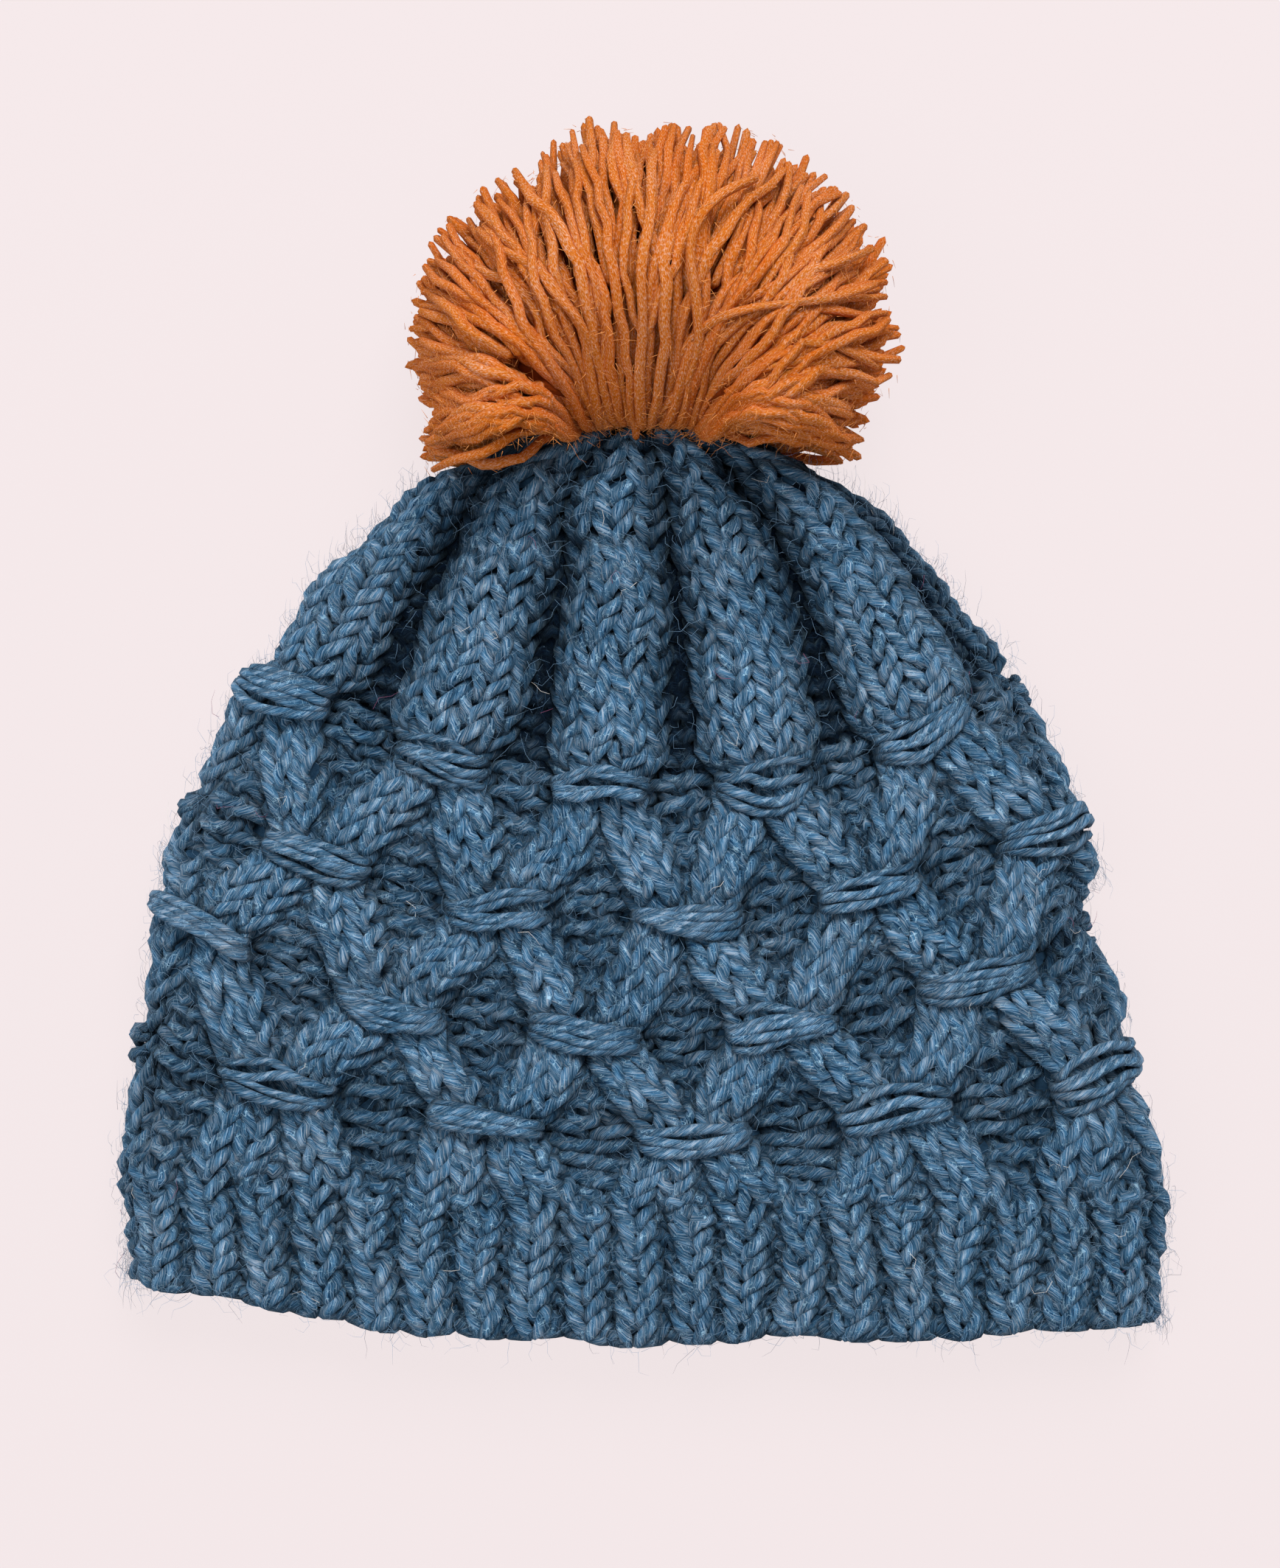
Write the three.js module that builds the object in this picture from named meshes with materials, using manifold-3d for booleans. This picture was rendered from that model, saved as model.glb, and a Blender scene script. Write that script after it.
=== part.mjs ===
// A hand-knitted wool hat with a yarn pompom, lying flat on its back as it is put down on a table.
// It is knitted in the round from the hem up: a ribbed hem, a body whose ribs are pulled together by wound
// wraps of yarn into a honeycomb, and a crown of ten fat ribs that are drawn together under the pompom.
// Millimetres, +Z up, +Y towards the pompom, +X to the wearer's left; the table is the plane z = 0.
import * as THREE from 'three';
import { mergeVertices } from 'three/addons/utils/BufferGeometryUtils.js';
import Module from 'manifold-3d';

const wasm = await Module();
wasm.setup();

const { smoothstep, lerp, degToRad } = THREE.MathUtils;

// Knitting: the pattern is knit 2, purl 2, knit 2, purl 2, ten times round.
const repeats = 10;
const repeatStitches = 8;
const frontRepeat = 2.72;     // the pattern repeat that lies in the middle of the upper layer
const cloth = 2.2;            // half the thickness of the knitted cloth
const pomGap = 0.6;           // clearance of the pompom round the crown's tip

// Relief of the cloth above (+) and below (-) its middle surface.
const hemRelief = 1.0;        // knit 1, purl 1 rib
const ribCrest = 2.0;         // the body's two-stitch ribs
const purlFloor = -1.6;       // the sunk purl lozenges between them
const crownCrest = 2.8;       // the fat crown ribs
const crownValley = -3.2;
const waistDepth = 2.2;       // how far a wrap binds the ribs in
const waistWide = 1.4;        // half of its width, in rows
const underPress = 0.7;       // share of the relief that the table presses flat on the underside
const underWaist = 0.7;       // extra waist on the underside, where the wraps lie in the cloth

// The wraps: rows on which they are wound, and the row of fabric where hem, body and crown meet.
const hemTop = 6;
const wrapRows = [
  { name: 'd', row: 10, shift: 0 },
  { name: 'c', row: 15, shift: 0.5 },
  { name: 'b', row: 21, shift: 0 },
  { name: 'a', row: 27, shift: 0.5 },
];
const crownStart = 27;
const seam = 0.12;            // half the slit between two pieces of the tube, in rows
const crownBlend = 1.5;       // rows over which two gathered ribs become one fat rib
const ribPull = 0.95;         // how far a wrap pulls a rib sideways, in stitches
const ribHalf = 0.97;         // half the width of a two-stitch rib, in stitches

// The flattened hat, row by row. left and right are its folds; middleY, leftY and rightY say how far up the
// hat the row lies; loft is half the distance between the two layers, and lift the height of their middle.
const levels = [
  { row: 0, left: -110.6, right: 110.8, middleY: -130.9, leftY: -118.0, rightY: -127.0, loft: 8.2, lift: 10.2 },
  { row: 6, left: -111.2, right: 110.4, middleY: -102.8, leftY: -92.5, rightY: -98.5, loft: 9.0, lift: 11.1 },
  { row: 10, left: -108.2, right: 103.6, middleY: -86.6, leftY: -66.5, rightY: -70.1, loft: 9.5, lift: 11.8 },
  { row: 15, left: -103.6, right: 96.8, middleY: -66.0, leftY: -37.4, rightY: -42.0, loft: 9.5, lift: 11.8 },
  { row: 21, left: -97.2, right: 92.2, middleY: -40.1, leftY: -15.5, rightY: -18.1, loft: 9.5, lift: 11.8 },
  { row: 27, left: -83.0, right: 79.8, middleY: -13.0, leftY: 13.1, rightY: 10.6, loft: 9.5, lift: 11.8 },
  { row: 32, left: -67.7, right: 66.6, middleY: 13.2, leftY: 32.0, rightY: 27.0, loft: 9.8, lift: 12.2 },
  { row: 37, left: -54.6, right: 52.8, middleY: 38.8, leftY: 45.6, rightY: 43.1, loft: 10.0, lift: 12.8 },
  { row: 41, left: -43.0, right: 38.4, middleY: 54.6, leftY: 54.0, rightY: 54.0, loft: 9.0, lift: 13.6 },
  { row: 42.5, left: -32.0, right: 28.0, middleY: 60.6, leftY: 59.2, rightY: 59.2, loft: 6.4, lift: 14.2 },
  { row: 44, left: -12.0, right: 8.5, middleY: 64.0, leftY: 64.0, rightY: 64.0, loft: 2.4, lift: 14.6 },
];
const rowBend = 1.95;         // how sharply a row bends up towards the folds

// The share of a repeat that a crown rib fills, by row; the rest is the valley beside it.
const ribShares = [
  { row: 27, share: 0.51 },
  { row: 28.5, share: 0.76 },
  { row: 32, share: 0.82 },
  { row: 37, share: 0.9 },
  { row: 44, share: 0.96 },
];

// Which way the ribs are pulled: +1 where wraps gather them round a whole repeat, -1 round a half.
const pulls = [
  { row: hemTop, pull: 0 },
  ...wrapRows.map((w) => ({ row: w.row, pull: w.shift ? -1 : 1 })),
];

// A value of a table along straight lines, where its column by is at.
function along(table, by, key, at) {
  const last = table.length - 1;
  if (at <= table[0][by]) return table[0][key];
  if (at >= table[last][by]) return table[last][key];
  const i = table.findIndex((entry) => entry[by] > at);
  const t = (at - table[i - 1][by]) / (table[i][by] - table[i - 1][by]);
  return lerp(table[i - 1][key], table[i][key], t);
}

// A value of the levels table at a row, along a smooth curve through its entries.
function levelValue(key, row) {
  const last = levels.length - 1;
  const at = Math.min(Math.max(row, levels[0].row), levels[last].row);
  const i = Math.max(1, levels.findIndex((entry) => entry.row >= at));
  const a = levels[i - 1];
  const b = levels[i];
  const slope = (lo, hi) => (levels[hi][key] - levels[lo][key]) / (levels[hi].row - levels[lo].row);
  const span = b.row - a.row;
  const t = (at - a.row) / span;
  const slopeA = slope(Math.max(0, i - 2), i) * span;
  const slopeB = slope(i - 1, Math.min(last, i + 1)) * span;
  const t2 = t * t;
  const t3 = t2 * t;
  return a[key] * (2 * t3 - 3 * t2 + 1) + slopeA * (t3 - 2 * t2 + t)
    + b[key] * (3 * t2 - 2 * t3) + slopeB * (t3 - t2);
}

// How far the ribs are pulled at a row: a zigzag with rounded turns.
function gatherPull(row) {
  const straight = along(pulls, 'row', 'pull', row);
  return lerp(straight, Math.sin((straight * Math.PI) / 2), 0.5);
}

// Where a stitch of the repeat lies across it, in stitches, once the wraps have pulled the ribs together.
function bodyPlace(stitch, row) {
  const centre = 2 - ribPull * gatherPull(row);
  const half = stitch <= 4 ? stitch : repeatStitches - stitch;
  const near = centre - ribHalf;
  const far = centre + ribHalf;
  let place = lerp(near, far, (half - 1) / 2);
  if (half < 1) place = near * half;
  if (half > 3) place = lerp(far, 4, half - 3);
  return stitch <= 4 ? place : repeatStitches - place;
}

// The same in the crown, where stitches 1 to 7 ride over the round back of one fat rib.
const ribArc = degToRad(62);
function crownPlace(stitch, row) {
  const half = 4 * along(ribShares, 'row', 'share', row);
  if (stitch < 1) return stitch * (4 - half);
  if (stitch > 7) return repeatStitches - (repeatStitches - stitch) * (4 - half);
  return 4 + (half * Math.sin(((stitch - 4) / 3) * ribArc)) / Math.sin(ribArc);
}

function stitchPlace(stitch, row) {
  const toCrown = smoothstep(row, crownStart, crownStart + crownBlend);
  const inHem = 1 - smoothstep(row, hemTop - 0.5, hemTop + 1);
  const body = lerp(bodyPlace(stitch, row), stitch, inHem);
  return lerp(body, crownPlace(stitch, row), toCrown);
}

// Height of the cloth's middle surface over the plain layer, at a place in the repeat, before any pressing.
function relief(place, row) {
  const centre = 2 - ribPull * gatherPull(row);
  const distance = Math.min(Math.abs(place - centre), Math.abs(place - repeatStitches + centre));
  const rib = lerp(ribCrest, purlFloor, smoothstep(distance, 0.45, 1.3));
  const hem = hemRelief * Math.cos(Math.PI * (place - 1.5));
  const body = lerp(rib, hem, 1 - smoothstep(row, hemTop - 0.5, hemTop + 1.5));
  const half = 4 * along(ribShares, 'row', 'share', row);
  const across = Math.min(1, Math.abs(place - 4) / half);
  const crown = lerp(crownValley, crownCrest, Math.sqrt(1 - 0.97 * across * across));
  return lerp(body, crown, smoothstep(row, crownStart, crownStart + crownBlend));
}

// How far the wraps bind the cloth in, at a place in the repeat.
function waist(place, row) {
  let depth = 0;
  for (const wrap of wrapRows) {
    const middle = wrap.shift * repeatStitches;
    const aside = Math.abs(((place - middle + 12) % repeatStitches) - 4);
    const reach = 1 - smoothstep(aside, 2.3, 3.2);
    depth += waistDepth * reach * Math.exp(-(((row - wrap.row) / waistWide) ** 4));
  }
  return depth;
}

// A point of the flattened tube. turn counts pattern repeats round the hat; heightAt gives the height over the
// layer's middle, from 0 on the upper layer and round the folds to 1 where the layer faces the table.
// Each row is a stadium: two straight layers joined by a half-round fold at each side.
function layerPoint(turn, row, heightAt) {
  const left = levelValue('left', row);
  const right = levelValue('right', row);
  const loft = levelValue('loft', row);
  const halfWidth = (right - left) / 2;
  const straight = halfWidth - loft;
  const halfLength = 2 * straight + Math.PI * loft;
  const round = (turn - frontRepeat) / (repeats / 2);
  const share = ((((round + 1) % 2) + 2) % 2) - 1;
  const side = Math.sign(share) || 1;
  const run = Math.abs(share) * halfLength;
  const bend = Math.min(Math.max((run - straight) / loft, 0), Math.PI);
  const flat = run < straight ? run : straight - Math.max(0, run - straight - Math.PI * loft);
  const height = heightAt(Math.max(0, -Math.cos(bend)));
  const x = flat + (loft + height) * Math.sin(bend);
  const z = levelValue('lift', row) + (loft + height) * Math.cos(bend);
  const aside = Math.min(1, (flat + loft * Math.sin(bend)) / halfWidth);
  const middleY = levelValue('middleY', row);
  const edgeY = levelValue(side < 0 ? 'leftY' : 'rightY', row);
  const y = middleY + (edgeY - middleY) * aside ** rowBend;
  return new THREE.Vector3((left + right) / 2 + side * x, y, Math.max(z, 0));
}

// A point of the hat's outer skin, grown outwards by extra.
function skinPoint(repeat, stitch, row, extra) {
  const place = stitchPlace(stitch, row);
  const shaped = relief(place, row);
  const bound = waist(place, row);
  return layerPoint(repeat + place / repeatStitches, row, (under) => {
    return shaped * (1 - underPress * under) - bound * (1 + underWaist * under) + cloth + extra;
  });
}

// A point of the smooth inside of the hat; lining is how far it lies in from the layer's middle.
function insidePoint(repeat, stitch, row, lining) {
  return layerPoint(repeat + stitchPlace(stitch, row) / repeatStitches, row, () => -lining);
}

// One closed row of points, repeat after repeat, at the given stitches of each repeat.
function ring(stitches, makePoint) {
  const points = [];
  for (let repeat = 0; repeat < repeats; repeat++) {
    for (const stitch of stitches) points.push(makePoint(repeat, stitch));
  }
  return points;
}

// A closed solid from rings of equal length. Each ring is joined to the next; the first and last are closed by
// a fan to a tip, or, where no tips are given, joined to each other.
function solidFromRings(rings, startTip, endTip) {
  const count = rings[0].length;
  const points = rings.flat();
  const faces = [];
  const quad = (a, b, c, d) => faces.push(a, b, c, a, c, d);
  const joins = startTip ? rings.length - 1 : rings.length;
  for (let i = 0; i < joins; i++) {
    const low = i * count;
    const high = ((i + 1) % rings.length) * count;
    for (let j = 0; j < count; j++) {
      const next = (j + 1) % count;
      quad(low + j, low + next, high + next, high + j);
    }
  }
  if (startTip) {
    const first = points.push(startTip) - 1;
    const last = points.push(endTip) - 1;
    const top = (rings.length - 1) * count;
    for (let j = 0; j < count; j++) {
      const next = (j + 1) % count;
      faces.push(first, next, j);
      faces.push(last, top + j, top + next);
    }
  }
  const geometry = new THREE.BufferGeometry().setFromPoints(points);
  geometry.setIndex(faces);
  if (signedVolume(geometry) < 0) {
    for (let i = 0; i < faces.length; i += 3) [faces[i], faces[i + 1]] = [faces[i + 1], faces[i]];
    geometry.setIndex(faces);
  }
  return geometry;
}

function signedVolume(geometry) {
  const position = geometry.getAttribute('position');
  const index = geometry.getIndex();
  const [a, b, c] = [new THREE.Vector3(), new THREE.Vector3(), new THREE.Vector3()];
  let volume = 0;
  for (let i = 0; i < index.count; i += 3) {
    a.fromBufferAttribute(position, index.getX(i));
    b.fromBufferAttribute(position, index.getX(i + 1));
    c.fromBufferAttribute(position, index.getX(i + 2));
    volume += a.dot(b.cross(c)) / 6;
  }
  return volume;
}

function toManifold(geometry) {
  const bare = new THREE.BufferGeometry().setAttribute('position', geometry.getAttribute('position'));
  bare.setIndex(geometry.getIndex());
  const merged = mergeVertices(bare, 1e-3);
  return new wasm.Manifold(new wasm.Mesh({
    numProp: 3,
    vertProperties: merged.getAttribute('position').array,
    triVerts: new Uint32Array(merged.getIndex().array),
  }));
}

function largestBody(manifold) {
  return manifold.decompose().sort((a, b) => b.volume() - a.volume())[0];
}

function toGeometry(manifold) {
  const mesh = manifold.getMesh();
  const geometry = new THREE.BufferGeometry();
  geometry.setAttribute('position', new THREE.BufferAttribute(mesh.vertProperties, 3));
  geometry.setIndex(new THREE.BufferAttribute(mesh.triVerts, 1));
  return geometry;
}

// What is left of a solid once another is cut from it. The second pass drops slivers joined only at a vertex.
function cutFrom(solid, tool) {
  const cut = largestBody(solid.subtract(tool));
  return toGeometry(largestBody(toManifold(toGeometry(cut))));
}

function piece(name, geometry, material) {
  const shaded = geometry.toNonIndexed();
  shaded.computeVertexNormals();
  const mesh = new THREE.Mesh(shaded, material);
  mesh.name = name;
  return mesh;
}

const blueWool = new THREE.MeshStandardMaterial({ color: 0x35617f, roughness: 0.95, metalness: 0 });
const wrapWool = new THREE.MeshStandardMaterial({ color: 0x3f6d8b, roughness: 0.95, metalness: 0 });
const orangeWool = new THREE.MeshStandardMaterial({ color: 0xc06a2b, roughness: 0.95, metalness: 0 });

// Ribbed hem: a tube of knit 1, purl 1 rib from the cast-on edge up. The edge is scalloped, a stitch at a time.
const hemRows = [0.35, hemTop - seam];
const hemInsideRows = [hemTop - seam, 0.35];
const hemStitches = [0.5, 1.5, 2.5, 3.5, 4.5, 5.5, 6.5, 7.5];
const hemLining = 2.6;
const castOnRow = 0;
const scallop = 1.4;

function ribbedHem() {
  const edge = ring(hemStitches, (repeat, stitch) => {
    const point = layerPoint(repeat + stitch / repeatStitches, castOnRow, () => 0);
    point.y -= Math.floor(stitch) % 2 ? scallop : 0;
    return point;
  });
  const outer = hemRows.map((row) => ring(hemStitches, (r, s) => skinPoint(r, s, row, 0)));
  const inner = hemInsideRows.map((row) => ring(hemStitches, (r, s) => insidePoint(r, s, row, hemLining)));
  return piece('ribbed_hem', solidFromRings([edge, ...outer, ...inner]), blueWool);
}

// Smocked body: pairs of ribs zigzag between the wraps and leave sunk purl lozenges between them.
const bodyRows = [
  hemTop + seam, 7.5, 9.1, 10, 10.9, 12.5, 14.1, 15, 15.9, 18, 20.1, 21, 21.9, 24, 26.1, crownStart - seam,
];
const bodyInsideRows = [crownStart - seam, 20, 13, hemTop + seam];
const bodyStitches = [0.75, 1.52, 2.48, 3.25, 4.75, 5.52, 6.48, 7.25];
const bodyLining = 5;

function smockedBody() {
  const outer = bodyRows.map((row) => ring(bodyStitches, (r, s) => skinPoint(r, s, row, 0)));
  const inner = bodyInsideRows.map((row) => ring(bodyStitches, (r, s) => insidePoint(r, s, row, bodyLining)));
  return piece('smocked_body', solidFromRings([...outer, ...inner]), blueWool);
}

// Crown: ten fat ribs with deep valleys between them, drawn together at the tip.
const crownRows = [crownStart + seam, 27.8, 28.7, 31, 33.5, 36, 38.5, 41, 42.1, 43.1, 44];
const crownInsideRows = [38.5, 33.5, crownStart + seam];
const crownStitches = [0, 1, 1.9, 3.2, 4.8, 6.1, 7];
const crownTip = new THREE.Vector3(-1.8, 65.2, 14.7);
const hollowTip = new THREE.Vector3(-1.8, 52.5, 13.4);

function crown() {
  const outer = crownRows.map((row) => ring(crownStitches, (r, s) => skinPoint(r, s, row, 0)));
  const inner = crownInsideRows.map((row) => ring(crownStitches, (r, s) => insidePoint(r, s, row, bodyLining)));
  const rings = [...inner, ...outer];
  return piece('crown', solidFromRings(rings, hollowTip, crownTip), blueWool);
}

// A wrap: five turns of yarn wound round two ribs. It arches over them and goes down into the cloth beside them.
const wrapReach = 0.262;      // half its length, in repeats
const wrapArch = 2.6;         // height of its middle over the layer
const wrapFoot = 0.2;
const wrapUnder = -1;         // the same on the underside, where it lies flat in the bound cloth
const wrapHalfThick = 1.35;
const wrapHalfThickUnder = 1;
const wrapHalfWide = 0.95;    // in rows
const wrapStations = [-1, -0.8, -0.4, 0, 0.4, 0.8, 1];
const wrapSides = 5;

function wrapShape(turn, row) {
  const point = (e, upwards, alongHat) => {
    const arch = lerp(wrapFoot, wrapArch, Math.sqrt(1 - e ** 4));
    const atRow = row + wrapHalfWide * (1 - 0.25 * e * e) * alongHat;
    return layerPoint(turn + e * wrapReach, atRow, (under) => {
      return cloth + lerp(arch, wrapUnder, under) + lerp(wrapHalfThick, wrapHalfThickUnder, under) * upwards;
    });
  };
  const rings = wrapStations.map((e) => Array.from({ length: wrapSides }, (_, i) => {
    const angle = Math.PI / 2 + (i * 2 * Math.PI) / wrapSides;
    return point(e, Math.sin(angle), Math.cos(angle));
  }));
  return solidFromRings(rings, point(-1, 0, 0), point(1, 0, 0));
}

function wraps() {
  const group = new THREE.Group();
  for (const { name, row, shift } of wrapRows) {
    for (let repeat = 0; repeat < repeats; repeat++) {
      group.add(piece(`wrap_${name}${repeat + 1}`, wrapShape(repeat + shift, row), wrapWool));
    }
  }
  return group;
}

// Pompom: a bundle of cut yarn tied at the tip of the crown, which falls open into a fan of locks. angle goes
// round from straight up the hat, and reach is how far the yarn ends lie from the tie there.
const tie = new THREE.Vector3(-1.3, 67.5, 17);
const reaches = [
  { angle: -100, reach: 48 }, { angle: -85, reach: 46 }, { angle: -68, reach: 52.5 }, { angle: -47, reach: 59 },
  { angle: -21, reach: 61 }, { angle: -9, reach: 66.5 }, { angle: 2, reach: 63 }, { angle: 18, reach: 67.5 },
  { angle: 43, reach: 67 }, { angle: 67, reach: 62 }, { angle: 84, reach: 50 }, { angle: 100, reach: 46 },
];
const tiers = [
  { locks: 13, tipZ: 5, share: 0.95, spring: -9 },
  { locks: 14, tipZ: 17, share: 0.99, spring: 4 },
  { locks: 12, tipZ: 30, share: 0.94, spring: 28 },
  { locks: 9, tipZ: 40, share: 0.8, spring: 46 },
  { locks: 5, tipZ: 46, share: 0.58, spring: 56 },
];
const fanStart = -98;
const fanEnd = 99;
const springShare = 0.42;     // where a lock turns from rising to falling, as a share of its reach
const lockThick = 6.7;
const lockSides = 5;
const lockStations = [{ at: 0, thick: 0.45 }, { at: 0.5, thick: 1 }, { at: 0.88, thick: 0.95 }];
const pomCore = { radii: [38, 28, 22.5], centre: [0, 92, 23] };

function lock(angle, tier, turn) {
  const outward = new THREE.Vector3(Math.sin(angle), Math.cos(angle), 0);
  const side = new THREE.Vector3(Math.cos(angle), -Math.sin(angle), 0);
  const reach = along(reaches, 'angle', 'reach', THREE.MathUtils.radToDeg(angle)) * tier.share;
  const tip = tie.clone().addScaledVector(outward, reach).setZ(tier.tipZ);
  const spring = tie.clone().addScaledVector(outward, reach * springShare).setZ(tie.z + tier.spring);
  const path = new THREE.QuadraticBezierCurve3(tie, spring, tip);
  const rings = lockStations.map(({ at, thick }) => {
    const centre = path.getPoint(at);
    const upward = side.clone().cross(path.getTangent(at)).normalize();
    return Array.from({ length: lockSides }, (_, i) => {
      const around = turn + (i * 2 * Math.PI) / lockSides;
      const point = centre.clone().addScaledVector(side, lockThick * thick * Math.cos(around));
      point.addScaledVector(upward, lockThick * thick * Math.sin(around));
      return point.setZ(Math.max(point.z, 0));
    });
  });
  return toManifold(solidFromRings(rings, tie, tip));
}

// The crown's tip without its valleys, a little too large: the pompom sits on it.
function crownEnvelope() {
  const rings = [33, 38.5, 41, 42.5, 44].map((row) => ring([1, 3, 5, 7], (repeat, stitch) => {
    return layerPoint(repeat + stitch / repeatStitches, row, (under) => {
      return crownCrest * (1 - underPress * under) + cloth + pomGap;
    });
  }));
  return toManifold(solidFromRings(rings, hollowTip, crownTip)).translate([0, pomGap, 0]);
}

function pompom() {
  const core = new THREE.IcosahedronGeometry(1, 1);
  core.deleteAttribute('normal');
  core.deleteAttribute('uv');
  core.scale(...pomCore.radii);
  core.translate(...pomCore.centre);
  let yarn = toManifold(mergeVertices(core, 1e-3));
  for (const tier of tiers) {
    for (let i = 0; i < tier.locks; i++) {
      const angle = degToRad(lerp(fanStart, fanEnd, (i + 0.5) / tier.locks));
      yarn = yarn.add(lock(angle, tier, i * 0.7));
    }
  }
  return piece('pompom', cutFrom(yarn, crownEnvelope()), orangeWool);
}

const hat = new THREE.Group();
hat.add(ribbedHem(), smockedBody(), crown(), wraps(), pompom());

export default hat;
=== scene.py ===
import bpy
import numpy as np
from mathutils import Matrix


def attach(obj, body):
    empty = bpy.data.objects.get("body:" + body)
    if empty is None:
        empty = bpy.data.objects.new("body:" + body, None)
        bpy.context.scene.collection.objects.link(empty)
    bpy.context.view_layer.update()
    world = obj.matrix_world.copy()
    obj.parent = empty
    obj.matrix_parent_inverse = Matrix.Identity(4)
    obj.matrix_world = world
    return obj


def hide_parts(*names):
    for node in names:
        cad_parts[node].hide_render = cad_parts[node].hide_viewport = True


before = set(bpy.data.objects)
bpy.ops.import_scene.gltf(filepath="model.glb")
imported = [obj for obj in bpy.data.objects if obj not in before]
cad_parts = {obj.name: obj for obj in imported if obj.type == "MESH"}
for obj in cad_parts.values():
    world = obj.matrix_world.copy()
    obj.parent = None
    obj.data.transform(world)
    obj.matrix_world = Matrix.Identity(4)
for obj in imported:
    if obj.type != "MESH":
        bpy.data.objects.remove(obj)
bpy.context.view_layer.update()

# Table, light and camera.
# The hat lies flat on a pale, faintly pink light table, under large soft lights from above its pompom and
# from its left, and is seen from straight above.

MM = 0.001
TABLE_PINK = "#f4e9ea"
TABLE_GLOW = 0.91
ROOM_WHITE = "#f7f0f2"
ROOM_GLOW = 0.42


def linear(hex_colour):
    """The sRGB hex colour as linear red, green, blue and alpha."""
    srgb = np.array([int(hex_colour[i:i + 2], 16) for i in (1, 3, 5)]) / 255
    low, high = srgb / 12.92, ((srgb + 0.055) / 1.055) ** 2.4
    return (*np.where(srgb <= 0.04045, low, high).tolist(), 1.0)


def add_node(tree, kind, sockets=None, **settings):
    """One node with its settings. A socket's value is a number, a colour or another node's output."""
    made = tree.nodes.new(kind)
    for name, value in settings.items():
        setattr(made, name, value)
    for socket, value in (sockets or {}).items():
        if isinstance(value, bpy.types.NodeSocket):
            tree.links.new(value, made.inputs[socket])
        else:
            made.inputs[socket].default_value = value
    return made


def new_material(name):
    """An empty material and the tree that its nodes go into."""
    material = bpy.data.materials.new(name)
    material.use_nodes = True
    material.node_tree.nodes.clear()
    return material, material.node_tree


def finish_material(tree, surface):
    """Joins the shader to the material's output."""
    add_node(tree, "ShaderNodeOutputMaterial", {"Surface": surface.outputs[0]})


# Opal acrylic lit from below, so that the hat's shadow on it is faint: nearly all its light is its own.
# Far out it curves up into a low wall, which is the background of a view from the side.
opal, tree = new_material("opal acrylic, lit from below")
finish_material(tree, add_node(tree, "ShaderNodeBsdfPrincipled", {
    "Base Color": linear("#453f40"), "Roughness": 0.9, "Specular IOR Level": 0.1,
    "Emission Color": linear(TABLE_PINK), "Emission Strength": TABLE_GLOW}))

TABLE_FLAT = 3.0              # m from its middle to where it starts to curve
TABLE_CURVE = 1.0             # m
TABLE_RIM = 1.6               # m
TABLE_SIDES = 96
CURVE_STEPS = 13
around = np.arange(TABLE_SIDES) * 2 * np.pi / TABLE_SIDES
curve = np.radians(np.linspace(0, 90, CURVE_STEPS))
table_r = np.append(TABLE_FLAT + TABLE_CURVE * np.sin(curve), TABLE_FLAT + TABLE_CURVE)
table_z = np.append(TABLE_CURVE * (1 - np.cos(curve)), TABLE_RIM)
table_rings = np.stack([table_r[:, None] * np.cos(around), table_r[:, None] * np.sin(around),
                        table_z[:, None] + 0 * around], -1)
ring, corner = np.meshgrid(np.arange(len(table_r) - 1), np.arange(TABLE_SIDES), indexing="ij")
near, onward = ring * TABLE_SIDES, (corner + 1) % TABLE_SIDES
wall = np.stack([near + corner, near + TABLE_SIDES + corner, near + TABLE_SIDES + onward, near + onward], -1)
table_mesh = bpy.data.meshes.new("table")
table_mesh.from_pydata(table_rings.reshape(-1, 3).tolist(), [],
                       [list(range(TABLE_SIDES)), *wall.reshape(-1, 4).tolist()])
table_mesh.materials.append(opal)
table = bpy.data.objects.new("table", table_mesh)
bpy.context.scene.collection.objects.link(table)

room = bpy.data.worlds.new("pale studio")
room.use_nodes = True
room.node_tree.nodes["Background"].inputs["Color"].default_value = linear(ROOM_WHITE)
room.node_tree.nodes["Background"].inputs["Strength"].default_value = ROOM_GLOW
bpy.context.scene.world = room
bpy.context.scene.view_settings.view_transform = "Standard"


def add_softbox(name, place, size, power):
    """A square lamp at place, in metres, that faces the hat's middle."""
    lamp = bpy.data.lights.new(name, "AREA")
    lamp.size = size
    lamp.energy = power
    box = bpy.data.objects.new(name, lamp)
    tilt = np.arctan2(np.hypot(place[0], place[1]), place[2])
    box.rotation_euler = (tilt, 0, np.arctan2(place[0], -place[1]))
    box.location = place
    bpy.context.scene.collection.objects.link(box)


add_softbox("window light", (0.25, 0.95, 1.15), 0.8, 23)
add_softbox("fill light", (-0.9, -0.1, 1.3), 1.0, 9)

# The camera looks straight down, and the picture is 340 mm high at the hat's upper layer, 600 mm away.
CAMERA_PLACE = (-1.1, -10.7, 620)
SENSOR_WIDTH = 36
LENS = 63.47
camera_data = bpy.data.cameras.new("camera")
camera_data.sensor_width = SENSOR_WIDTH
camera_data.lens = LENS
camera = bpy.data.objects.new("camera", camera_data)
camera.location = np.array(CAMERA_PLACE) * MM
bpy.context.scene.collection.objects.link(camera)
bpy.context.scene.camera = camera

# Ribbed hem.
# Knit 1, purl 1 rib of bulky two-ply wool, knitted in the round from a long-tail cast-on. Each course is one
# length of yarn in loops, and the loops of each course hang in those of the one before.

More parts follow.
